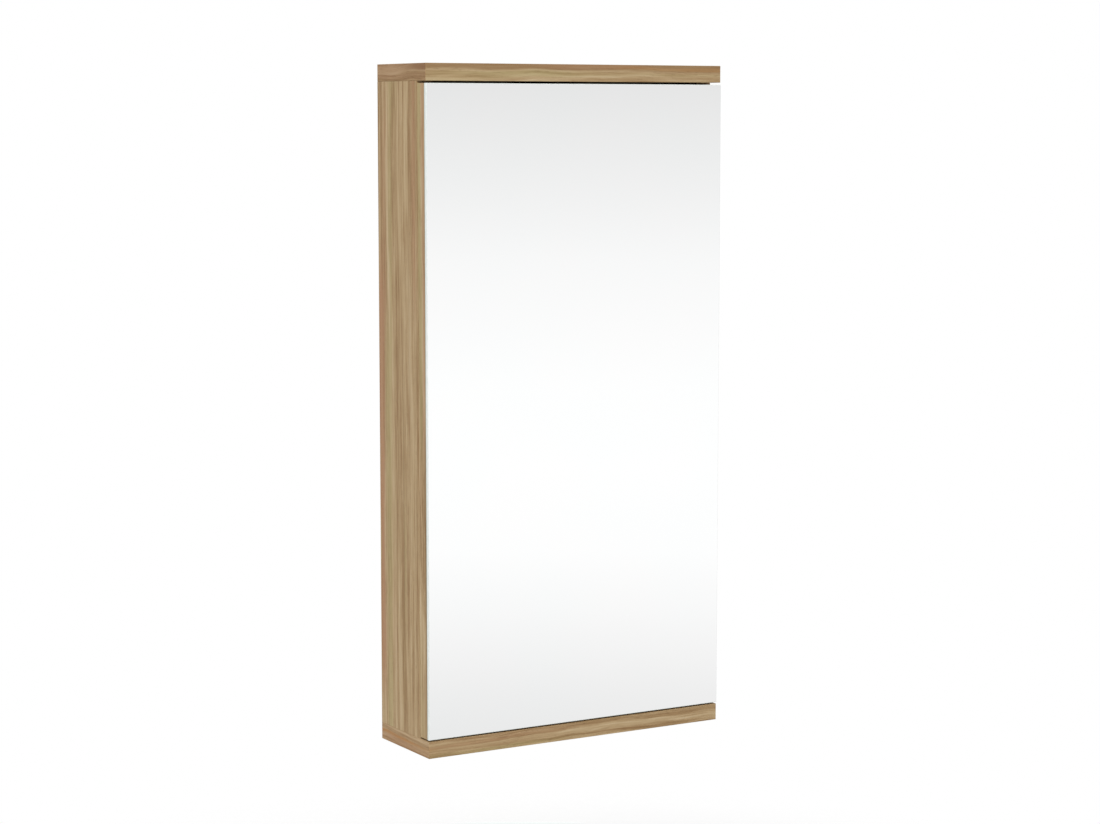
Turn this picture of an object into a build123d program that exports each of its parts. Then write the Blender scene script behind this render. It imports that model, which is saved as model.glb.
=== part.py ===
from build123d import *
import math
import os

# A corner cabinet with a mirror door, in millimetres. It hangs in the right angle between two walls.
# The door faces -Y, the corner of the walls is at +Y, and +Z is up. The origin is the middle of the
# underside, halfway from the mirror's face to the rear corner. The plan is a pentagon: the door, two
# short sides square to it, and two wall panels at 45 degrees. The door lies in front of the sides,
# between the top and the bottom panel, and hangs on two butt hinges at its right edge.

# Cabinet
cabinet_width = 300.0
cabinet_height = 600.0
side_depth = 90.0
board = 15.0
edge_round = 0.4
assembly_clearance = 0.05

# Door
door_board = 13.0
mirror_thickness = 4.0
mirror_proud = 1.0
mirror_arris = 0.5
door_back_gap = 0.5
door_top_gap = 1.9
door_bottom_gap = 1.5
bumper_radius = 4.0
bumper_thickness = 0.4
bumper_edge_distance = 20.0

# Glass shelves
shelf_thickness = 5.0
shelf_side_gap = 1.0
shelf_front_setback = 12.0
shelf_corner_radius = 3.0
lower_shelf_height = 205.0
upper_shelf_height = 395.0

# Shelf pins and their rows of holes
pin_radius = 2.5
pin_depth = 8.0
pin_collar_radius = 4.5
pin_collar_thickness = 0.8
pin_tongue_length = 9.0
pin_tongue_width = 7.0
pin_tongue_thickness = 2.5
pin_hole_pitch = 32.0
pin_setback = 30.0
pin_wall_distance = 112.0

# Cam fittings and dowels between the upright panels and the top and bottom panels
cam_radius = 7.5
cam_depth = 12.0
cam_edge_distance = 34.0
cam_slot_width = 2.0
cam_slot_depth = 3.0
bolt_thread_radius = 2.5
bolt_thread_length = 11.0
bolt_shank_radius = 3.0
bolt_head_radius = 3.4
bolt_head_length = 3.0
bolt_hole_radius = 4.0
dowel_radius = 4.0
dowel_length = 30.0
dowel_depth_in_panel = 10.0
cap_radius = 8.5
cap_thickness = 1.0
side_cam_setback = 20.0
side_dowel_setback = 50.0
wall_cam_distances = (40.0, 150.0)
wall_dowel_distances = (68.0, 122.0)

# Dowels in the mitres between sides and wall panels, and screws where the wall panels meet
mitre_dowel_radius = 3.0
mitre_dowel_length = 18.0
mitre_dowel_end_distance = 105.0
corner_screw_radius = 2.5
corner_screw_length = 45.0
corner_screw_head_radius = 4.5
corner_screw_end_distance = 45.0

# Holes in the wall panels, for the screws that hold the cabinet on the walls
wall_hole_radius = 2.75
wall_hole_distance = 95.0
wall_hole_end_distance = 45.0

# Butt hinges, at the outer right edge between the door's back and the side's front edge
hinge_end_distance = 90.0
hinge_leaf_height = 50.0
hinge_leaf_width = 12.0
hinge_leaf_thickness = 1.2
hinge_leaf_gap = 0.1
hinge_knuckle_radius = 2.4
hinge_knuckle_count = 5
hinge_knuckle_gap = 0.15
hinge_pin_radius = 1.2
hinge_pin_clearance = 0.05
hinge_pin_head_radius = 2.0
hinge_pin_head_length = 0.8
hinge_axis_outside = 1.2
hinge_notch_clearance = 0.25
hinge_screw_spacing = 17.0
hinge_screw_radius = 1.5
hinge_screw_head_radius = 2.6
hinge_side_screw_length = 25.0
hinge_door_screw_length = 10.0

# Magnetic push latch on the left side
latch_height = 300.0
latch_barrel_radius = 5.0
latch_barrel_length = 50.0
latch_setback = 3.0
latch_base_thickness = 3.0
latch_base_height = 28.0
latch_base_length = 32.0
latch_end_wall = 2.0
latch_screw_radius = 1.75
latch_screw_length = 12.0
latch_screw_head_radius = 3.2
latch_screw_offset = 9.5
plunger_radius = 3.0
plunger_length = 34.0
plunger_clearance = 0.08
plunger_tip_gap = 0.1
spring_wire_radius = 0.4
spring_turns = 10
striker_radius = 7.0
striker_thickness = 1.5
striker_stem_radius = 2.0
striker_stem_length = 6.0

# Screw heads
recess_width = 0.7
recess_depth = 0.8

# The plan, worked out from the sizes above
half_width = cabinet_width / 2
overall_depth = mirror_proud + side_depth + half_width
mirror_front = -overall_depth / 2
mirror_back = mirror_front + mirror_thickness
door_back = mirror_back + door_board
carcass_front = door_back + door_back_gap
panel_front = mirror_front + mirror_proud
shoulder = panel_front + side_depth
apex = shoulder + half_width
diagonal = math.sqrt(0.5)
inner_half = half_width - board
inner_shoulder = shoulder - board * math.tan(math.radians(22.5))
inner_apex = apex - board / diagonal
floor_top = board
ceiling = cabinet_height - board
door_bottom = floor_top + door_bottom_gap
door_top = ceiling - door_top_gap
middle_height = (floor_top + ceiling) / 2
shelf_heights = {"lower": lower_shelf_height, "upper": upper_shelf_height}
hinge_heights = {"lower": door_bottom + hinge_end_distance, "upper": door_top - hinge_end_distance}
hinge_x = half_width + hinge_axis_outside
hinge_y = carcass_front - door_back_gap / 2
latch_x = -inner_half + latch_base_thickness + latch_barrel_radius
latch_front = carcass_front + latch_setback
latch_screw_y = latch_front + latch_base_length / 2

nodes = {}


def prism(points, low, high):
    """A solid with the plan outline given by its points, from height low to height high."""
    outline = Polygon(*points, align=None)
    return Pos(0, 0, low) * extrude(outline, amount=high - low, dir=(0, 0, 1))


def rod(start, direction, radius, length):
    """A round bar from start, along direction."""
    base = (Align.CENTER, Align.CENTER, Align.MIN)
    return Plane(origin=start, z_dir=direction) * Cylinder(radius, length, align=base)


def block(low, high):
    """A box between two opposite corners."""
    size = [top - bottom for bottom, top in zip(low, high)]
    centre = [(top + bottom) / 2 for bottom, top in zip(low, high)]
    return Pos(*centre) * Box(*size)


def shifted(point, direction, distance):
    """The point moved by a distance along a direction."""
    length = math.sqrt(sum(part * part for part in direction))
    return tuple(value + part * distance / length for value, part in zip(point, direction))


def three_heights(end_distance):
    """Heights near both ends of the upright panels and in their middle."""
    return (floor_top + end_distance, middle_height, ceiling - end_distance)


def back_along(direction):
    """The opposite direction."""
    return tuple(-part for part in direction)


def countersunk_screw(start, direction, radius, length, head_radius):
    """A flat-headed wood screw with a cross recess. start is the middle of its head's face."""
    head_depth = head_radius - radius
    base = (Align.CENTER, Align.CENTER, Align.MIN)
    screw = Cone(head_radius, radius, head_depth, align=base)
    screw += Cylinder(radius, length, align=base)
    arm = head_radius * 1.2
    screw -= Box(arm, recess_width, recess_depth, align=base)
    screw -= Box(recess_width, arm, recess_depth, align=base)
    return Plane(origin=start, z_dir=direction) * screw


def countersunk_hole(start, direction, radius, length, head_radius):
    """What is cut away for a flat-headed screw, with the assembly clearance round it."""
    base = (Align.CENTER, Align.CENTER, Align.MIN)
    wide = head_radius + assembly_clearance
    narrow = radius + assembly_clearance
    hole = Cone(wide, narrow, wide - narrow, align=base)
    hole += Cylinder(narrow, length + assembly_clearance, align=base)
    return Plane(origin=start, z_dir=direction) * hole


def blind_hole(start, direction, radius, length):
    """What is cut away for a round bar, with the assembly clearance round it and past its end."""
    return rod(start, direction, radius + assembly_clearance, length + assembly_clearance)


# Places on the upright panels. An upright is a side or a wall panel, on side 1 (right) or -1 (left).
# A distance is measured along its inner face, from the front edge of a side or from a wall panel's
# end at the shoulder.
def outward(kind, side):
    """The direction from inside the cabinet, square through the panel."""
    return (side, 0, 0) if kind == "side" else (side * diagonal, diagonal, 0)


def inner_point(kind, side, distance, height):
    """A point on the panel's inner face."""
    if kind == "side":
        return (side * inner_half, carcass_front + distance, height)
    run = distance * diagonal
    return (side * (inner_half - run), inner_shoulder + run, height)


def middle_point(kind, side, distance, height):
    """A point in the middle of the panel's thickness."""
    return shifted(inner_point(kind, side, distance, height), outward(kind, side), board / 2)


side_outline = [
    (half_width, carcass_front),
    (half_width, shoulder),
    (inner_half, inner_shoulder),
    (inner_half, carcass_front),
]
left_wall_outline = [
    (-half_width, shoulder),
    (0, apex),
    (board * diagonal, apex - board * diagonal),
    (-inner_half, inner_shoulder),
]
right_wall_outline = [
    (half_width, shoulder),
    (board * diagonal, apex - board * diagonal),
    (0, inner_apex),
    (inner_half, inner_shoulder),
]
panel_outline = [
    (-half_width, panel_front),
    (half_width, panel_front),
    (half_width, shoulder),
    (0, apex),
    (-half_width, shoulder),
]
uprights = [(kind, side) for side in (-1, 1) for kind in ("side", "wall")]
upright_names = {
    ("side", -1): "left_side_panel",
    ("side", 1): "right_side_panel",
    ("wall", -1): "left_wall_panel",
    ("wall", 1): "right_wall_panel",
}
cam_distances = {"side": (side_cam_setback,), "wall": wall_cam_distances}
dowel_distances = {"side": (side_dowel_setback,), "wall": wall_dowel_distances}


def make_boards():
    """The six boards of the cabinet, before any hole is made in them."""
    for name, low in (("bottom_panel", 0), ("top_panel", ceiling)):
        panel = prism(panel_outline, low, low + board)
        nodes[name] = fillet(panel.edges(), edge_round)
    right_side = prism(side_outline, floor_top, ceiling)
    front_edges = right_side.edges().filter_by(Axis.Z).group_by(Axis.Y)[0]
    right_side = fillet(front_edges, edge_round)
    nodes["right_side_panel"] = right_side
    nodes["left_side_panel"] = mirror(right_side, about=Plane.YZ)
    nodes["left_wall_panel"] = prism(left_wall_outline, floor_top, ceiling)
    nodes["right_wall_panel"] = prism(right_wall_outline, floor_top, ceiling)


def make_cam_fittings():
    """Cams, their bolts and caps, and dowels, at both ends of each upright panel."""
    cams = []
    bolts = []
    caps = []
    dowels = []
    for kind, side in uprights:
        upright = upright_names[kind, side]
        out = outward(kind, side)
        for end, up in ((ceiling, 1), (floor_top, -1)):
            panel = "top_panel" if up == 1 else "bottom_panel"
            away = (0, 0, up)
            cam_height = end - up * cam_edge_distance
            for distance in cam_distances[kind]:
                face = inner_point(kind, side, distance, cam_height)
                centre = middle_point(kind, side, distance, cam_height)
                head_end = shifted(centre, away, -bolt_head_length / 2)
                shank_length = cam_edge_distance + bolt_head_length / 2
                bolt = rod(head_end, away, bolt_shank_radius, shank_length)
                bolt += rod(head_end, away, bolt_head_radius, bolt_head_length)
                joint = shifted(centre, away, cam_edge_distance)
                bolt += rod(joint, away, bolt_thread_radius, bolt_thread_length)
                bolts.append(bolt)
                cam = rod(face, out, cam_radius, cam_depth)
                mouth = bolt_head_radius + 2 * assembly_clearance
                mouth_end = shifted(head_end, away, -assembly_clearance)
                cam -= rod(mouth_end, away, mouth, cam_edge_distance)
                slot = Box(cam_slot_width, 2 * cam_radius, 2 * cam_slot_depth)
                cam -= Plane(origin=face, z_dir=out) * slot
                cams.append(cam)
                cap_face = shifted(face, out, -cap_thickness)
                caps.append(rod(cap_face, out, cap_radius, cap_thickness))
                nodes[upright] -= blind_hole(face, out, cam_radius, cam_depth)
                nodes[upright] -= rod(centre, away, bolt_hole_radius, cam_edge_distance)
                nodes[panel] -= blind_hole(joint, away, bolt_thread_radius, bolt_thread_length)
            for distance in dowel_distances[kind]:
                joint = middle_point(kind, side, distance, end)
                start = shifted(joint, away, dowel_depth_in_panel - dowel_length)
                dowels.append(rod(start, away, dowel_radius, dowel_length))
                depth_below = dowel_length - dowel_depth_in_panel
                nodes[upright] -= blind_hole(joint, back_along(away), dowel_radius, depth_below)
                nodes[panel] -= blind_hole(joint, away, dowel_radius, dowel_depth_in_panel)
    nodes["cam_locks"] = Compound(cams)
    nodes["cam_bolts"] = Compound(bolts)
    nodes["cam_caps"] = Compound(caps)
    nodes["panel_dowels"] = Compound(dowels)


def make_corner_fasteners():
    """Dowels square through the mitres, and screws through the left wall panel into the right one."""
    dowels = []
    for side in (-1, 1):
        mitre_middle = (side * (half_width + inner_half) / 2, (shoulder + inner_shoulder) / 2)
        angle = math.radians(67.5)
        along = (-side * math.cos(angle), math.sin(angle), 0)
        for height in three_heights(mitre_dowel_end_distance):
            start = shifted((*mitre_middle, height), along, -mitre_dowel_length / 2)
            dowels.append(rod(start, along, mitre_dowel_radius, mitre_dowel_length))
            hole_start = shifted(start, along, -assembly_clearance)
            hole_length = mitre_dowel_length + assembly_clearance
            for kind in ("side", "wall"):
                hole = blind_hole(hole_start, along, mitre_dowel_radius, hole_length)
                nodes[upright_names[kind, side]] -= hole
    nodes["mitre_dowels"] = Compound(dowels)

    screws = []
    inward = (diagonal, -diagonal, 0)
    middle = board / 2 * diagonal
    for height in three_heights(corner_screw_end_distance):
        start = (-middle, apex - middle, height)
        sizes = (corner_screw_radius, corner_screw_length, corner_screw_head_radius)
        screws.append(countersunk_screw(start, inward, *sizes))
        for name in ("left_wall_panel", "right_wall_panel"):
            nodes[name] -= countersunk_hole(start, inward, *sizes)
    nodes["corner_screws"] = Compound(screws)


def make_wall_holes():
    """A plain hole near the top and the bottom of each wall panel, square to the wall."""
    for side in (-1, 1):
        out = outward("wall", side)
        for height in (floor_top + wall_hole_end_distance, ceiling - wall_hole_end_distance):
            start = shifted(inner_point("wall", side, wall_hole_distance, height), out, -1)
            nodes[upright_names["wall", side]] -= rod(start, out, wall_hole_radius, board + 2)


def make_pin(face, out, height):
    """A shelf pin: a shank in the board, a collar on its face and a tongue under the glass."""
    collar_face = shifted(face, out, -pin_collar_thickness)
    shank = rod(collar_face, out, pin_radius, pin_collar_thickness + pin_depth)
    collar = rod(collar_face, out, pin_collar_radius, pin_collar_thickness)
    corner = (cabinet_width, overall_depth, height + pin_collar_radius)
    above = block((-cabinet_width, -overall_depth, height), corner)
    tongue_plane = Plane(origin=collar_face, x_dir=(0, 0, 1), z_dir=back_along(out))
    flush = (Align.MAX, Align.CENTER, Align.MIN)
    tongue = Box(pin_tongue_thickness, pin_tongue_width, pin_tongue_length, align=flush)
    return shank + (collar - above) + tongue_plane * Pos(pin_radius, 0, 0) * tongue


def make_shelves():
    """Two glass shelves, each on four pins that sit in rows of holes."""
    inset = shelf_side_gap
    reach = inner_half - inset
    wall_inset = inset / diagonal
    back_y = inner_shoulder + inset - wall_inset
    front = carcass_front + shelf_front_setback
    outline = [
        (-reach, front),
        (reach, front),
        (reach, back_y),
        (0, inner_apex - wall_inset),
        (-reach, back_y),
    ]
    pins = []
    places = [("side", side, pin_setback) for side in (-1, 1)]
    places += [("wall", side, pin_wall_distance) for side in (-1, 1)]
    for name, height in shelf_heights.items():
        shelf = prism(outline, height, height + shelf_thickness)
        nodes[f"{name}_shelf"] = fillet(shelf.edges().filter_by(Axis.Z), shelf_corner_radius)
        pin_height = height - pin_radius
        for kind, side, distance in places:
            out = outward(kind, side)
            face = inner_point(kind, side, distance, pin_height)
            pins.append(make_pin(face, out, height))
            for step in (-1, 0, 1):
                mouth = inner_point(kind, side, distance, pin_height + step * pin_hole_pitch)
                nodes[upright_names[kind, side]] -= blind_hole(mouth, out, pin_radius, pin_depth)
    nodes["shelf_pins"] = Compound(pins)


def make_door():
    """The door's board and the mirror on it, and the two bumpers at its free edge."""
    low = (-half_width, mirror_back, door_bottom)
    high = (half_width, door_back, door_top)
    door = block(low, high)
    back_edges = door.faces().sort_by(Axis.Y)[-1].edges()
    nodes["door_panel"] = fillet(back_edges, edge_round)
    glass = block((-half_width, mirror_front, door_bottom), (half_width, mirror_back, door_top))
    front_edges = glass.faces().sort_by(Axis.Y)[0].edges()
    nodes["mirror_glass"] = chamfer(front_edges, mirror_arris)
    bumpers = []
    for height in (door_bottom + bumper_edge_distance, door_top - bumper_edge_distance):
        start = (-half_width + board / 2, door_back, height)
        bumpers.append(rod(start, (0, 1, 0), bumper_radius, bumper_thickness))
    nodes["door_bumpers"] = Compound(bumpers)


def knuckle_spans(height):
    """The lowest and highest point of each knuckle of a hinge, from the bottom up."""
    pitch = hinge_leaf_height / hinge_knuckle_count
    low = height - hinge_leaf_height / 2
    half_gap = hinge_knuckle_gap / 2
    ends = [low + i * pitch for i in range(hinge_knuckle_count)]
    return [(end + half_gap, end + pitch - half_gap) for end in ends]


def make_leaf(height, plate, knuckles, others):
    """A hinge leaf: its plate, its own knuckles, and room for the other leaf's."""
    leaf = block(*plate)
    for low, high in others:
        room = hinge_knuckle_radius + hinge_knuckle_gap
        start = (hinge_x, hinge_y, low - hinge_knuckle_gap)
        leaf -= rod(start, (0, 0, 1), room, high - low + 2 * hinge_knuckle_gap)
    for low, high in knuckles:
        leaf += rod((hinge_x, hinge_y, low), (0, 0, 1), hinge_knuckle_radius, high - low)
    bore = hinge_pin_radius + hinge_pin_clearance
    below = (hinge_x, hinge_y, height - hinge_leaf_height)
    return leaf - rod(below, (0, 0, 1), bore, 2 * hinge_leaf_height)


def make_hinges():
    """Two butt hinges. The side leaf is let into the side's front edge, the door leaf into the door."""
    side_screws = []
    door_screws = []
    screw_x = half_width - board / 2
    for name, height in hinge_heights.items():
        low = height - hinge_leaf_height / 2
        high = height + hinge_leaf_height / 2
        spans = knuckle_spans(height)
        inner_end = half_width - hinge_leaf_width
        side_face = hinge_y + hinge_leaf_gap / 2
        door_face = hinge_y - hinge_leaf_gap / 2
        side_plate = ((inner_end, side_face, low), (hinge_x, side_face + hinge_leaf_thickness, high))
        door_plate = ((inner_end, door_face - hinge_leaf_thickness, low), (hinge_x, door_face, high))
        side_leaf = make_leaf(height, side_plate, spans[0::2], spans[1::2])
        door_leaf = make_leaf(height, door_plate, spans[1::2], spans[0::2])

        # Beds in the boards
        grown = assembly_clearance
        side_bed = block(
            (inner_end - grown, side_face - 1, low - grown),
            (half_width + 1, side_face + hinge_leaf_thickness, high + grown),
        )
        door_bed = block(
            (inner_end - grown, door_face - hinge_leaf_thickness, low - grown),
            (half_width + 1, door_face + 1, high + grown),
        )
        notch_radius = hinge_knuckle_radius + hinge_notch_clearance
        notch_low = low - hinge_pin_head_length - hinge_notch_clearance
        notch_high = high + hinge_pin_head_length + hinge_notch_clearance
        notch = rod((hinge_x, hinge_y, notch_low), (0, 0, 1), notch_radius, notch_high - notch_low)
        nodes["right_side_panel"] -= side_bed + notch
        nodes["door_panel"] -= door_bed + notch

        # Screws
        for offset in (-hinge_screw_spacing, 0, hinge_screw_spacing):
            place = (screw_x, side_face, height + offset)
            sizes = (hinge_screw_radius, hinge_side_screw_length, hinge_screw_head_radius)
            side_screws.append(countersunk_screw(place, (0, 1, 0), *sizes))
            hole = countersunk_hole(place, (0, 1, 0), *sizes)
            side_leaf -= hole
            nodes["right_side_panel"] -= hole
            place = (screw_x, door_face, height + offset)
            sizes = (hinge_screw_radius, hinge_door_screw_length, hinge_screw_head_radius)
            door_screws.append(countersunk_screw(place, (0, -1, 0), *sizes))
            hole = countersunk_hole(place, (0, -1, 0), *sizes)
            door_leaf -= hole
            nodes["door_panel"] -= hole

        # The pin, with a head at each end
        pin = rod((hinge_x, hinge_y, low), (0, 0, 1), hinge_pin_radius, hinge_leaf_height)
        head_sizes = (hinge_pin_head_radius, hinge_pin_head_length)
        pin += rod((hinge_x, hinge_y, high), (0, 0, 1), *head_sizes)
        pin += rod((hinge_x, hinge_y, low), (0, 0, -1), *head_sizes)
        nodes[f"{name}_hinge_side_leaf"] = side_leaf
        nodes[f"{name}_hinge_door_leaf"] = door_leaf
        nodes[f"{name}_hinge_pin"] = pin
    nodes["hinge_side_screws"] = Compound(side_screws)
    nodes["hinge_door_screws"] = Compound(door_screws)


def make_latch():
    """The push latch: a barrel on a base plate, a spring and a plunger, and its striker in the door."""
    barrel_front = (latch_x, latch_front, latch_height)
    rearward = (0, 1, 0)
    forward = (0, -1, 0)
    housing = rod(barrel_front, rearward, latch_barrel_radius, latch_barrel_length)
    base_low = (-inner_half, latch_front, latch_height - latch_base_height / 2)
    base_face = -inner_half + latch_base_thickness
    base_end = latch_front + latch_base_length
    base = block(base_low, (base_face, base_end, latch_height + latch_base_height / 2))
    base = fillet(base.edges().filter_by(Axis.X), latch_base_thickness)
    housing += base
    half_rib = latch_barrel_radius * 0.8
    rib_low = (-inner_half, latch_front, latch_height - half_rib)
    rib_high = (latch_x, base_end, latch_height + half_rib)
    housing += block(rib_low, rib_high)
    bore_radius = plunger_radius + plunger_clearance
    bore_length = latch_barrel_length - latch_end_wall
    housing -= rod(barrel_front, rearward, bore_radius, bore_length)

    screws = []
    for offset in (-latch_screw_offset, latch_screw_offset):
        place = (base_face, latch_screw_y, latch_height + offset)
        sizes = (latch_screw_radius, latch_screw_length, latch_screw_head_radius)
        screws.append(countersunk_screw(place, (-1, 0, 0), *sizes))
        hole = countersunk_hole(place, (-1, 0, 0), *sizes)
        housing -= hole
        nodes["left_side_panel"] -= hole
    nodes["latch_housing"] = housing
    nodes["latch_screws"] = Compound(screws)

    tip = (latch_x, door_back + plunger_tip_gap, latch_height)
    plunger = rod(tip, rearward, plunger_radius, plunger_length)
    front_edge = plunger.edges().sort_by(Axis.Y)[0]
    nodes["latch_plunger"] = chamfer(front_edge, plunger_radius / 5)

    # The spring fills the bore behind the plunger.
    spring_start = tip[1] + plunger_length + assembly_clearance
    bore_end = latch_front + bore_length
    spring_length = bore_end - spring_start - assembly_clearance - 2 * spring_wire_radius
    coil_radius = plunger_radius - spring_wire_radius - plunger_clearance
    coil = Helix(spring_length / spring_turns, spring_length, coil_radius)
    section = Plane(origin=coil @ 0, z_dir=coil % 0) * Circle(spring_wire_radius)
    spring = sweep(section, path=coil)
    spring_base = (latch_x, spring_start + spring_wire_radius, latch_height)
    nodes["latch_spring"] = Plane(origin=spring_base, z_dir=rearward) * spring

    face = (latch_x, door_back, latch_height)
    striker = rod(face, forward, striker_radius, striker_thickness)
    striker += rod(face, forward, striker_stem_radius, striker_stem_length)
    nodes["striker_plate"] = striker
    nodes["door_panel"] -= blind_hole(face, forward, striker_radius, striker_thickness)
    nodes["door_panel"] -= blind_hole(face, forward, striker_stem_radius, striker_stem_length)


make_boards()
make_cam_fittings()
make_corner_fasteners()
make_wall_holes()
make_shelves()
make_door()
make_hinges()
make_latch()

os.makedirs("parts", exist_ok=True)
for name, solid in nodes.items():
    export_step(solid, f"parts/{name}.step")
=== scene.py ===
import math

import bpy
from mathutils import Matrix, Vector

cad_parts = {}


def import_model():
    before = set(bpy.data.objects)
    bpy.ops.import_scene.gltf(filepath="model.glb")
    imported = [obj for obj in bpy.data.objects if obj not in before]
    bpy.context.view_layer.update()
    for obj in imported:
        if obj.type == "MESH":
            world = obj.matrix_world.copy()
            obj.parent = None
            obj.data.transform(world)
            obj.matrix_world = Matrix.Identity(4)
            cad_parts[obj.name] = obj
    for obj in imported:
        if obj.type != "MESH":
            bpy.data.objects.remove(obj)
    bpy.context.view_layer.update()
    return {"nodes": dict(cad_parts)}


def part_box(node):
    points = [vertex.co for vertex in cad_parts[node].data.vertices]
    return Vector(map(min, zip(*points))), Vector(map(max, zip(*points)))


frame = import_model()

NODES = frame["nodes"]


def srgb(red, green, blue):
    """A colour given as three 0-255 display values, as linear light with alpha."""
    def linear(value):
        share = value / 255
        if share <= 0.04045:
            return share / 12.92
        return ((share + 0.055) / 1.055) ** 2.4
    return (linear(red), linear(green), linear(blue), 1.0)


WHITE = (1.0, 1.0, 1.0, 1.0)

# World and lamps light the object at a level at which a colour renders about as written.
WORLD_LIGHT = 0.55
LAMP_TARGET = (0.0, 0.0, 0.3)
LAMPS = [
    # name, place, side length, watts
    ("key_lamp", (-1.9, -1.9, 2.2), 2.0, 58),
    ("front_lamp", (1.6, -3.0, 1.0), 2.2, 8),
    ("rear_lamp", (1.4, 2.8, 1.8), 2.0, 55)]

# The studio that the mirror shows: display greys by how many degrees a ray rises.
STUDIO_RANGE = (-16, 2)
STUDIO_GREYS = [
    (-14.4, 229), (-12.6, 238), (-10.8, 248.5), (-9.5, 254), (-7.7, 255),
    (-5.9, 254.5), (-3.2, 248.5), (-1.8, 241.5), (0.6, 230)]

# Camera, fitted to the corners of the cabinet in the photo: metres, degrees, millimetres.
CAMERA_PLACE = (-1.1933, -2.1017, 0.5571)
CAMERA_YAW = 30.448
CAMERA_PITCH = -6.464
CAMERA_LENS = 86.12
CAMERA_SENSOR = 36.0
CAMERA_CLIP = (0.02, 60.0)

# The cabinet hangs on a wall, so the floor lies below it. It fades between two shares of its
# radius.
FLOOR_LEVEL = -0.30
FLOOR_RADIUS = 0.92
FLOOR_FADE = (0.40, 0.96)
FLOOR_RINGS = 12
FLOOR_SIDES = 96

# Oak decor: tones from dark to light, and the shades mixed into them.
OAK_TONES = [
    (0.18, srgb(144, 113, 76)),
    (0.36, srgb(163, 134, 96)),
    (0.50, srgb(176, 149, 111)),
    (0.64, srgb(187, 162, 124)),
    (0.82, srgb(199, 177, 141))]
OAK_RED = srgb(170, 125, 93)
OAK_OLIVE = srgb(177, 165, 116)
OAK_DARK = srgb(126, 95, 62)
OAK_ORANGE = srgb(178, 132, 80)
OAK_BROWN = srgb(148, 116, 80)

# The oak's noises: how much of the length along the grain they keep, offset, scale, detail and
# roughness. The first ones are drawn out along the grain, the others follow the growth rings.
GRAIN_NOISES = {
    "tremble": (0.12, 2.7, 70.0, 2.0, 0.6),
    "lines": (0.022, 1.9, 330.0, 3.0, 0.6),
    "flecks": (0.045, 5.2, 430.0, 2.0, 0.55),
    "dashes": (0.035, 4.3, 820.0, 2.0, 0.6),
    "pores": (0.045, 8.8, 2700.0, 1.0, 0.5)}
RING_NOISES = {
    "rings": (0.012, 0.0, 215.0, 4.0, 0.62),
    "bands": (0.02, 3.3, 60.0, 1.0, 0.5),
    "hue": (0.03, 7.1, 75.0, 2.0, 0.5)}
DRIFT_SCALE = 7.0
DRIFT_SPREAD = 4.0
RING_TREMBLE = 0.0022
TONE_SHARES = {"rings": 0.36, "bands": 0.17, "lines": 0.18, "flecks": 0.16, "dashes": 0.13}
TONE_CONTRAST = 3.7

# Where the hue noise brings in another shade: it starts at the first value, and is at its
# whole share from the second on.
HUE_SHADES = [(0.57, 0.78, 0.50, OAK_RED), (0.43, 0.24, 0.45, OAK_OLIVE)]

# Pores show where their noise passes these values, and most where the rings' noise is low.
PORE_STEP = (0.60, 0.68)
OPEN_GRAIN = (0.60, 0.42, 0.25, 1.0)
PORE_SHARE = 0.55
OAK_ROUGHNESS = 0.62
RING_SMOOTHNESS = 0.14
OAK_BUMP = 0.22
OAK_BUMP_DEPTH = 0.00012

# A normal's share above which a face counts as looking along that axis.
FACING = 0.7
# Moves the grain of edges that face sideways away from that of the front edges.
SIDE_OFFSET = 0.37
# How far the flat boards' front edges lie from the middle.
PANEL_FRONT = -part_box("top_panel")[0].y

# A streak is whole within the first share of its half width and gone beyond the second, with
# a border as rough as the third. It fades in and out over a length, and dashes break it up.
STREAK_CORE = 0.4
STREAK_RIM = 1.3
STREAK_RAGGED = 1.6
STREAK_FADE = 0.06
STREAK_BASE = 0.45

# Fine grain that a spark-eroded mould leaves on plastic.
SPARK_SCALE = 2600.0
SPARK_BUMP = 0.12
SPARK_DEPTH = 0.00006


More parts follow.
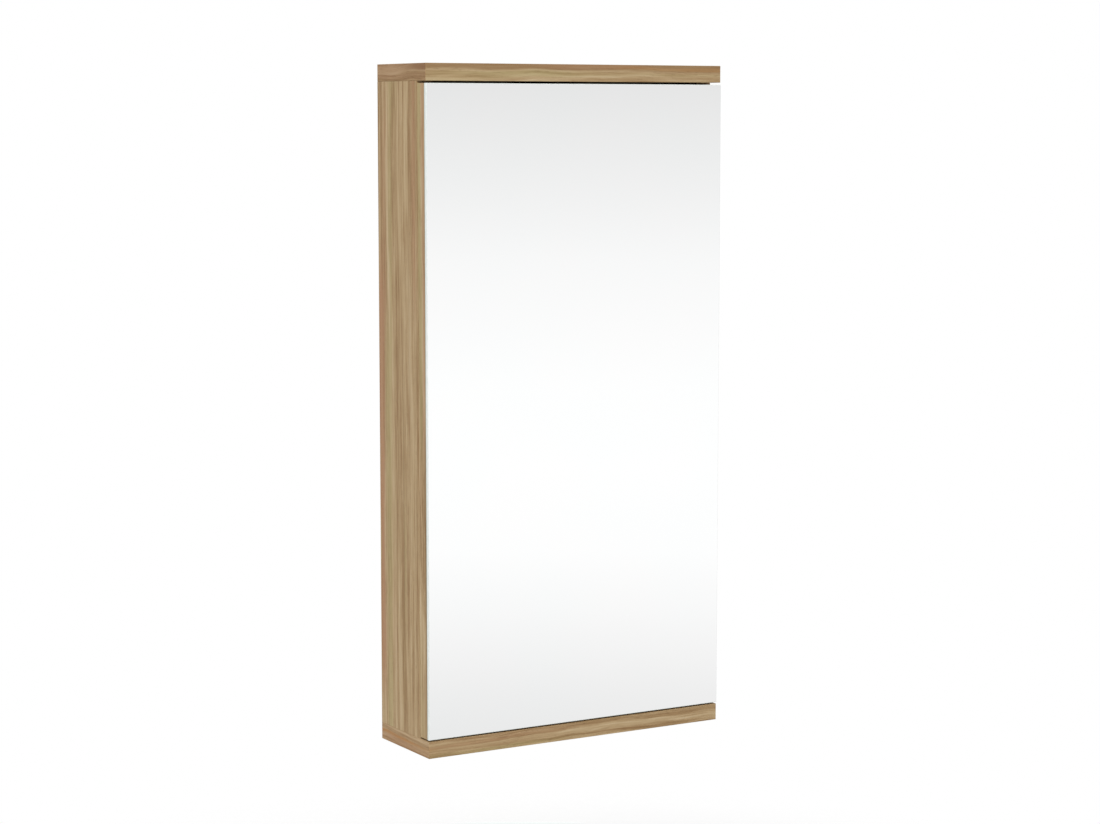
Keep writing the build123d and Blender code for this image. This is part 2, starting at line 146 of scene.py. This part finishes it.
class Graph:
    """A node tree built with one call per node."""

    def __init__(self, tree):
        self.tree = tree
        self.tree.nodes.clear()

    def node(self, kind, inputs=None, **settings):
        made = self.tree.nodes.new(kind)
        for key, value in settings.items():
            setattr(made, key, value)
        for socket, value in (inputs or {}).items():
            self.feed(made.inputs[socket], value)
        return made

    def feed(self, socket, value):
        if isinstance(value, bpy.types.NodeSocket):
            self.tree.links.new(value, socket)
        else:
            socket.default_value = value

    def math(self, operation, first, second=0.0, third=0.0):
        made = self.node("ShaderNodeMath", {0: first, 1: second, 2: third}, operation=operation)
        return made.outputs[0]

    def vector_math(self, operation, first, second):
        made = self.node("ShaderNodeVectorMath", {0: first, 1: second}, operation=operation)
        return made.outputs[0]

    def split(self, vector):
        return self.node("ShaderNodeSeparateXYZ", {0: vector}).outputs

    def join(self, x, y, z):
        return self.node("ShaderNodeCombineXYZ", {0: x, 1: y, 2: z}).outputs[0]

    def reach(self, first, second):
        """The length of the line whose two parts at right angles are given."""
        squares = [self.math("MULTIPLY", part, part) for part in (first, second)]
        return self.math("SQRT", self.math("ADD", *squares))

    def noise(self, vector, scale, detail=2.0, roughness=0.5, distortion=0.0, output="Fac"):
        made = self.node("ShaderNodeTexNoise", {
            "Vector": vector, "Scale": scale, "Detail": detail,
            "Roughness": roughness, "Distortion": distortion})
        return made.outputs[output]

    def step(self, value, low, high, start=0.0, end=1.0):
        """Eases from start to end while value goes from low to high."""
        made = self.node("ShaderNodeMapRange", {
            0: value, 1: low, 2: high, 3: start, 4: end}, interpolation_type="SMOOTHSTEP")
        return made.outputs[0]

    def mix(self, share, first, second, blend="MIX"):
        made = self.node("ShaderNodeMix", data_type="RGBA", blend_type=blend)
        self.feed(made.inputs[0], share)
        self.feed(made.inputs[6], first)
        self.feed(made.inputs[7], second)
        return made.outputs[2]

    def ramp(self, value, stops):
        made = self.node("ShaderNodeValToRGB", {0: value})
        elements = made.color_ramp.elements
        while len(elements) < len(stops):
            elements.new(0.5)
        for element, (position, colour) in zip(elements, stops):
            element.position = position
            element.color = colour
        return made.outputs[0]

    def bump(self, height, strength, distance):
        made = self.node("ShaderNodeBump", {
            "Height": height, "Strength": strength, "Distance": distance})
        return made.outputs[0]

    def surface(self, **inputs):
        """The Principled shader, whose sockets are named with underscores for spaces."""
        names = {key.replace("_", " "): value for key, value in inputs.items()}
        return self.node("ShaderNodeBsdfPrincipled", names).outputs[0]

    def layer(self, share, below, above):
        """Two shaders, with the second one's share."""
        return self.node("ShaderNodeMixShader", {0: share, 1: below, 2: above}).outputs[0]


class Shader(Graph):
    """A material's node tree, with the place and the normal in the object's own frame."""

    def __init__(self, name):
        self.material = bpy.data.materials.new(name)
        self.material.use_nodes = True
        super().__init__(self.material.node_tree)
        coordinates = self.node("ShaderNodeTexCoord").outputs
        self.place = coordinates["Object"]
        self.normal = coordinates["Normal"]

    def finish(self, surface):
        self.node("ShaderNodeOutputMaterial", {0: surface})
        return self.material


def oak(name, grain, seed, log, wave=0.003, streaks=(), side_tone=None):
    """One board's oak. grain is z for an upright board, and x for a flat one, whose edges run
    lengthwise. log is where the middle of the growth rings lies: its two places across the
    grain, and how much each of them leans along it. wave is how far the grain bends. streaks
    are bands of axis, middle, half width, start, end, shade and share. side_tone multiplies
    the colour of the edges that face sideways."""
    s = Shader(name)
    x, y, z = s.split(s.place)
    facing = s.split(s.normal)
    side = s.math("GREATER_THAN", s.math("ABSOLUTE", facing[0]), FACING)
    drift = s.noise(s.vector_math("ADD", s.place, (seed, seed * 0.7, seed * 1.3)),
                    DRIFT_SCALE, 3.0, output="Color")
    drift = s.vector_math("SUBTRACT", drift, (0.5, 0.5, 0.5))
    drift = s.vector_math("MULTIPLY", drift, (wave * DRIFT_SPREAD,) * 3)
    bent = s.vector_math("ADD", s.place, drift)
    bx, by, bz = s.split(bent)

    def ring_distance(first, second, length):
        away = [
            s.math("SUBTRACT", s.math("MULTIPLY_ADD", length, -lean, spot), middle)
            for spot, middle, lean in ((first, log[0], log[2]), (second, log[1], log[3]))]
        return s.reach(*away)

    if grain == "z":
        edge = 1.0
        length = bz
        distance = ring_distance(bx, by, bz)
    else:
        flat = s.math("GREATER_THAN", s.math("ABSOLUTE", facing[2]), FACING)
        edge = s.math("SUBTRACT", 1.0, flat)
        length = s.math("MULTIPLY_ADD", by, edge, bx)
        edge_place = s.math("MULTIPLY_ADD", side, SIDE_OFFSET, bz)
        distance = s.math("ADD", s.math("MULTIPLY", ring_distance(by, bz, bx), flat),
                          s.math("MULTIPLY", edge_place, edge))

    def grain_noise(kind):
        """Noise on the place with its length along the grain shortened, which draws it out."""
        keep, offset, *look = GRAIN_NOISES[kind]
        if grain == "z":
            drawn = s.vector_math("MULTIPLY", bent, (1.0, 1.0, keep))
        else:
            across = s.math("MULTIPLY_ADD", flat, 1.0 - keep, keep)
            drawn = s.join(s.math("MULTIPLY", bx, keep), s.math("MULTIPLY", by, across),
                           edge_place)
        moved = s.vector_math("ADD", drawn, (seed + offset, seed * 1.7 + offset, seed * 0.6))
        return s.noise(moved, *look)

    def ring_noise(kind):
        keep, offset, *look = RING_NOISES[kind]
        place = s.join(distance, s.math("MULTIPLY", length, keep), seed + offset)
        return s.noise(place, *look)

    tremble = s.math("SUBTRACT", grain_noise("tremble"), 0.5)
    distance = s.math("MULTIPLY_ADD", tremble, RING_TREMBLE, distance)
    texture = {kind: ring_noise(kind) for kind in RING_NOISES}
    for kind in ("lines", "flecks", "dashes", "pores"):
        texture[kind] = grain_noise(kind)
    tone = 0.0
    for kind, share in TONE_SHARES.items():
        tone = s.math("MULTIPLY_ADD", texture[kind], share, tone)
    tone = s.math("MULTIPLY_ADD", s.math("SUBTRACT", tone, 0.5), TONE_CONTRAST, 0.5)
    colour = s.ramp(tone, OAK_TONES)
    for begin, whole, share, shade in HUE_SHADES:
        colour = s.mix(s.step(texture["hue"], begin, whole, 0.0, share), colour, shade)

    # The run along a flat board's edges goes on round its corners.
    turned = s.math("MULTIPLY", side, s.math("MULTIPLY_ADD", y, 2.0, 2 * PANEL_FRONT))
    along_edge = s.math("SUBTRACT", s.math("ADD", x, y), turned)
    for axis, middle, half, start, end, shade, share in streaks:
        spot = {"y": by, "z": bz}[axis]
        run = {"y": z, "z": along_edge}[axis]
        away = s.math("ABSOLUTE", s.math("SUBTRACT", spot, middle))
        ragged = s.math("SUBTRACT", texture["lines"], 0.5)
        away = s.math("MULTIPLY_ADD", ragged, half * STREAK_RAGGED, away)
        weight = s.step(away, half * STREAK_CORE, half * STREAK_RIM, share, 0.0)
        weight = s.math("MULTIPLY", weight, edge)
        weight = s.math("MULTIPLY", weight, s.step(run, start, start + STREAK_FADE))
        weight = s.math("MULTIPLY", weight, s.step(run, end, end - STREAK_FADE))
        weight = s.math("MULTIPLY", weight, s.math("ADD", texture["dashes"], STREAK_BASE))
        colour = s.mix(weight, colour, shade)

    open_grain = s.step(texture["rings"], *OPEN_GRAIN)
    pits = s.math("MULTIPLY", s.step(texture["pores"], *PORE_STEP), open_grain)
    colour = s.mix(s.math("MULTIPLY", pits, PORE_SHARE), colour, OAK_DARK)
    if side_tone:
        colour = s.mix(side, colour, s.mix(1.0, colour, side_tone, "MULTIPLY"))
    height = s.math("SUBTRACT", s.math("MULTIPLY", texture["rings"], 0.6), pits)
    rough = s.math("MULTIPLY_ADD", texture["rings"], -RING_SMOOTHNESS, OAK_ROUGHNESS)
    return s.finish(s.surface(
        Base_Color=colour, Roughness=rough, Specular_IOR_Level=0.22,
        Normal=s.bump(height, OAK_BUMP, OAK_BUMP_DEPTH)))


def mirror_silver():
    """Silvered float glass: a mirror in front, the clear edge round it, grey paint behind."""
    s = Shader("mirror_silver")
    y = s.split(s.place)[1]
    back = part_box("mirror_glass")[1].y
    normal_y = s.split(s.normal)[1]
    cloud = s.noise(s.place, 9.0)
    silver = s.surface(
        Base_Color=s.mix(s.step(cloud, 0.3, 0.7), srgb(254, 255, 255), srgb(255, 255, 255)),
        Metallic=1.0, Roughness=s.math("MULTIPLY_ADD", cloud, 0.006, 0.004))
    grind = s.noise(s.vector_math("MULTIPLY", s.place, (1.0, 1.0, 0.15)), 900.0)
    edge_colour = s.mix(s.step(grind, 0.3, 0.7), srgb(226, 233, 228), srgb(241, 245, 242))
    by_paint = s.step(y, back - 0.0011, back - 0.0003)
    edge = s.surface(
        Base_Color=s.mix(by_paint, edge_colour, srgb(128, 134, 112)),
        Roughness=0.22, Specular_IOR_Level=0.5, Normal=s.bump(grind, 0.10, 0.0001))
    paint_grain = s.noise(s.place, 420.0, 3.0)
    paint = s.surface(
        Base_Color=s.mix(paint_grain, srgb(92, 96, 100), srgb(112, 116, 119)),
        Roughness=0.6, Normal=s.bump(paint_grain, 0.2, 0.0001))
    front = s.layer(s.step(normal_y, -0.90, -0.80), silver, edge)
    return s.finish(s.layer(s.step(normal_y, 0.80, 0.90), front, paint))


def shelf_glass():
    """Clear float glass whose ground edge shows green."""
    s = Shader("shelf_clear_glass")
    normal_z = s.split(s.normal)[2]
    grind = s.noise(s.place, 700.0)
    face = s.surface(
        Base_Color=srgb(240, 250, 245), Roughness=0.0, IOR=1.52, Transmission_Weight=1.0)
    edge = s.surface(
        Base_Color=s.mix(grind, srgb(108, 168, 146), srgb(150, 200, 180)),
        Roughness=0.18, IOR=1.52, Transmission_Weight=0.65,
        Normal=s.bump(grind, 0.12, 0.0001))
    flat = s.step(s.math("ABSOLUTE", normal_z), 0.6, 0.8)
    return s.finish(s.layer(flat, edge, face))


def metal(name, dark, light, roughness, scale, dent, stretch=(1.0, 1.0, 1.0)):
    """Plated, drawn or cast metal. scale and stretch are its fine marks', dent their bump."""
    s = Shader(name)
    marks = s.noise(s.vector_math("MULTIPLY", s.place, stretch), scale, 3.0, 0.6)
    smears = s.noise(s.place, 60.0)
    tone = s.math("ADD", s.math("MULTIPLY", marks, 0.6), s.math("MULTIPLY", smears, 0.4))
    return s.finish(s.surface(
        Base_Color=s.mix(s.step(tone, 0.32, 0.68), dark, light), Metallic=1.0,
        Roughness=s.math("MULTIPLY_ADD", smears, 0.08, roughness),
        Normal=s.bump(marks, dent, 0.00008)))


def plastic(name, dark, light, roughness, scale=SPARK_SCALE, soft=0.0):
    """Moulded plastic with a fine grain; soft lets some light into it."""
    s = Shader(name)
    spark = s.noise(s.place, scale, 2.0, 0.6)
    shade = s.noise(s.place, 70.0)
    return s.finish(s.surface(
        Base_Color=s.mix(s.step(shade, 0.3, 0.7), dark, light),
        Roughness=s.math("MULTIPLY_ADD", spark, 0.12, roughness),
        Subsurface_Weight=soft, Subsurface_Radius=(0.002, 0.002, 0.002),
        Normal=s.bump(spark, SPARK_BUMP, SPARK_DEPTH)))


def magnet_plunger():
    """Dark plastic with the bright end of a magnet set in its tip."""
    s = Shader("plunger_dark_plastic")
    x, y, z = s.split(s.place)
    low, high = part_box("latch_plunger")
    radius = (high.x - low.x) / 2
    from_axis = s.reach(s.math("SUBTRACT", x, (low.x + high.x) / 2),
                        s.math("SUBTRACT", z, (low.z + high.z) / 2))
    tip = s.step(y, low.y + 0.0010, low.y + 0.0006)
    round_tip = s.math("MULTIPLY", tip, s.step(from_axis, radius * 0.74, radius * 0.66))
    spark = s.noise(s.place, SPARK_SCALE, 2.0, 0.6)
    body = s.surface(
        Base_Color=s.mix(spark, srgb(60, 60, 63), srgb(76, 76, 79)),
        Roughness=s.math("MULTIPLY_ADD", spark, 0.12, 0.36),
        Normal=s.bump(spark, SPARK_BUMP, SPARK_DEPTH))
    magnet = s.surface(
        Base_Color=s.mix(spark, srgb(190, 192, 195), srgb(212, 213, 215)), Metallic=1.0,
        Roughness=s.math("MULTIPLY_ADD", spark, 0.10, 0.18))
    return s.finish(s.layer(round_tip, body, magnet))


def beech():
    """Pale dowel wood with short darker flecks."""
    s = Shader("beech_dowel_wood")
    fibres = s.noise(s.place, 225.0, 3.0, 0.6, 0.4)
    flecks = s.noise(s.place, 1500.0, 1.0)
    colour = s.mix(s.step(fibres, 0.3, 0.7), srgb(196, 158, 118), srgb(216, 184, 146))
    colour = s.mix(s.step(flecks, 0.62, 0.72, 0.0, 0.5), colour, srgb(150, 108, 76))
    return s.finish(s.surface(
        Base_Color=colour, Roughness=0.7, Normal=s.bump(fibres, 0.3, 0.0001)))


def dress(material, *names):
    """Gives the nodes one material, in every slot that they have."""
    for name in names:
        mesh = NODES[name].data
        if not mesh.materials:
            mesh.materials.append(material)
        for slot in range(len(mesh.materials)):
            mesh.materials[slot] = material


def floor():
    """A plain pale disc that fades out at its rim and keeps the cabinet's shadow."""
    points = [(0.0, 0.0, FLOOR_LEVEL)]
    for ring in range(1, FLOOR_RINGS + 1):
        reach = FLOOR_RADIUS * ring / FLOOR_RINGS
        for side in range(FLOOR_SIDES):
            turn = 2 * math.pi * side / FLOOR_SIDES
            points.append((reach * math.cos(turn), reach * math.sin(turn), FLOOR_LEVEL))
    faces = [(0, 1 + side, 1 + (side + 1) % FLOOR_SIDES) for side in range(FLOOR_SIDES)]
    for ring in range(FLOOR_RINGS - 1):
        inner = 1 + ring * FLOOR_SIDES
        outer = inner + FLOOR_SIDES
        for side in range(FLOOR_SIDES):
            following = (side + 1) % FLOOR_SIDES
            faces.append((inner + side, outer + side, outer + following, inner + following))
    mesh = bpy.data.meshes.new("floor_disc")
    mesh.from_pydata(points, [], faces)
    disc = bpy.data.objects.new("floor_disc", mesh)
    bpy.context.scene.collection.objects.link(disc)
    s = Shader("floor_pale")
    x, y = s.split(s.place)[:2]
    colour = s.mix(s.noise(s.place, 40.0, 3.0), srgb(243, 243, 243), srgb(247, 247, 247))
    ground = s.surface(Base_Color=colour, Roughness=0.9, Specular_IOR_Level=0.1)
    clear = s.node("ShaderNodeBsdfTransparent").outputs[0]
    fade = s.step(s.reach(x, y), *(FLOOR_RADIUS * share for share in FLOOR_FADE))
    mesh.materials.append(s.finish(s.layer(fade, ground, clear)))


def world():
    """Soft even light, and the white studio that the camera, the mirror and the glass see."""
    made = bpy.data.worlds.new("studio_world")
    bpy.context.scene.world = made
    made.use_nodes = True
    s = Graph(made.node_tree)
    ray = s.node("ShaderNodeLightPath").outputs
    rise = s.split(s.node("ShaderNodeTexCoord").outputs["Generated"])[2]
    low, high = (math.sin(math.radians(angle)) for angle in STUDIO_RANGE)
    level = s.node("ShaderNodeMapRange", {0: rise, 1: low, 2: high}).outputs[0]
    stops = [((math.sin(math.radians(angle)) - low) / (high - low), srgb(grey, grey, grey))
             for angle, grey in STUDIO_GREYS]
    studio = s.mix(ray["Is Glossy Ray"], WHITE, s.ramp(level, stops))
    seen = s.node("ShaderNodeBackground", {0: studio, 1: 1.0}).outputs[0]
    light = s.node("ShaderNodeBackground", {0: WHITE, 1: WORLD_LIGHT}).outputs[0]
    watched = s.math("MAXIMUM", ray["Is Camera Ray"], ray["Is Glossy Ray"])
    watched = s.math("MAXIMUM", watched, ray["Is Transmission Ray"])
    s.node("ShaderNodeOutputWorld", {0: s.layer(watched, light, seen)})


def lamp(name, place, size, power):
    """A square soft box turned to the cabinet, which no mirror or glass shows."""
    data = bpy.data.lights.new(name, "AREA")
    data.shape = "SQUARE"
    data.size = size
    data.energy = power
    made = bpy.data.objects.new(name, data)
    bpy.context.scene.collection.objects.link(made)
    made.location = place
    made.rotation_mode = "QUATERNION"
    made.rotation_quaternion = (Vector(LAMP_TARGET) - Vector(place)).to_track_quat("-Z", "Y")
    made.visible_glossy = False
    made.visible_camera = False
    made.visible_transmission = False


def camera():
    """The photo's view, without shift so that other views aren't cropped."""
    data = bpy.data.cameras.new("photo_camera")
    data.sensor_fit = "HORIZONTAL"
    data.sensor_width = CAMERA_SENSOR
    data.lens = CAMERA_LENS
    data.clip_start, data.clip_end = CAMERA_CLIP
    made = bpy.data.objects.new("photo_camera", data)
    bpy.context.scene.collection.objects.link(made)
    made.location = CAMERA_PLACE
    made.rotation_euler = (math.radians(90 + CAMERA_PITCH), 0.0, -math.radians(CAMERA_YAW))
    bpy.context.scene.camera = made


# Streaks that the photo shows: on the left side a red band at the rear edge with an olive one
# beside it, olive and red ones on the door's edge, and browner ones on the flat boards' edges.
SIDE_STREAKS = [
    ("y", -0.0340, 0.0052, 0.02, 0.46, OAK_RED, 0.80),
    ("y", -0.0470, 0.0058, -0.10, 0.40, OAK_OLIVE, 0.45),
    ("y", -0.0400, 0.0036, 0.34, 0.60, OAK_RED, 0.35),
    ("y", -0.0520, 0.0040, 0.37, 0.66, OAK_OLIVE, 0.35),
    ("y", -0.0965, 0.0032, 0.36, 0.66, OAK_RED, 0.45),
    ("y", -0.0740, 0.0012, 0.06, 0.40, OAK_DARK, 0.30),
    ("y", -0.0860, 0.0016, 0.24, 0.50, OAK_DARK, 0.20)]
DOOR_STREAKS = [
    ("y", -0.1075, 0.0030, 0.24, 0.70, OAK_OLIVE, 0.50),
    ("y", -0.1145, 0.0024, 0.24, 0.70, OAK_RED, 0.42),
    ("y", -0.1155, 0.0014, -0.10, 0.30, OAK_DARK, 0.45)]
TOP_STREAKS = [
    ("z", 0.5967, 0.0041, -0.33, 0.12, OAK_BROWN, 0.90),
    ("z", 0.5966, 0.0022, -0.18, -0.02, OAK_RED, 0.40),
    ("z", 0.5956, 0.0018, -0.10, 0.12, OAK_ORANGE, 0.40),
    ("z", 0.5900, 0.0030, -0.25, -0.10, OAK_OLIVE, 0.30)]
BOTTOM_STREAKS = [
    ("z", 0.0095, 0.0017, -0.42, -0.25, OAK_ORANGE, 0.85),
    ("z", 0.0050, 0.0040, -0.40, -0.26, OAK_RED, 0.35)]

# The middle of a board's growth rings gives straight grain where it is far off, and arches
# where it is close.
dress(oak("oak_left_side", "z", 1.3, (-0.36, 0.21, 0.01, 0.02), 0.0016, SIDE_STREAKS),
      "left_side_panel")
dress(oak("oak_door", "z", 4.1, (0.035, -0.055, 0.02, 0.075), 0.0020, DOOR_STREAKS),
      "door_panel")
dress(oak("oak_top", "x", 7.7, (-0.01, 0.52, 0.04, 0.10), 0.0034, TOP_STREAKS,
          srgb(233, 218, 214)),
      "top_panel")
dress(oak("oak_bottom", "x", 12.9, (0.03, -0.06, 0.02, 0.05), 0.0030, BOTTOM_STREAKS,
          srgb(247, 241, 238)),
      "bottom_panel")
dress(oak("oak_right_side", "z", 17.2, (0.40, 0.18, 0.02, 0.03), 0.0018), "right_side_panel")
dress(oak("oak_left_wall", "z", 23.8, (-0.12, 0.10, 0.03, 0.05), 0.0024), "left_wall_panel")
dress(oak("oak_right_wall", "z", 31.4, (0.15, 0.12, -0.04, 0.04), 0.0024), "right_wall_panel")
dress(mirror_silver(), "mirror_glass")
dress(shelf_glass(), "lower_shelf", "upper_shelf")
dress(metal("zinc_plated_steel", srgb(188, 190, 194), srgb(214, 215, 217), 0.22, 900.0, 0.12),
      "cam_bolts", "corner_screws", "latch_screws", "hinge_side_screws", "hinge_door_screws",
      "shelf_pins", "striker_plate", "latch_spring")
dress(metal("cast_zinc_grey", srgb(150, 152, 155), srgb(182, 184, 187), 0.40, 1500.0, 0.35),
      "cam_locks")
dress(metal("hinge_satin_steel", srgb(176, 176, 174), srgb(208, 207, 203), 0.26, 2400.0, 0.15,
            (1.0, 1.0, 0.06)),
      "lower_hinge_side_leaf", "lower_hinge_pin", "upper_hinge_side_leaf", "upper_hinge_pin",
      "lower_hinge_door_leaf", "upper_hinge_door_leaf")
dress(beech(), "panel_dowels", "mitre_dowels")
dress(plastic("cap_oak_plastic", srgb(170, 143, 108), srgb(180, 154, 119), 0.45), "cam_caps")
dress(plastic("latch_pale_plastic", srgb(206, 206, 203), srgb(216, 216, 213), 0.38),
      "latch_housing")
dress(magnet_plunger(), "latch_plunger")
dress(plastic("bumper_clear_rubber", srgb(205, 207, 204), srgb(220, 222, 219), 0.30,
              scale=1400.0, soft=0.4),
      "door_bumpers")

camera()
floor()
world()
for each in LAMPS:
    lamp(*each)
bpy.context.scene.view_settings.view_transform = "Standard"
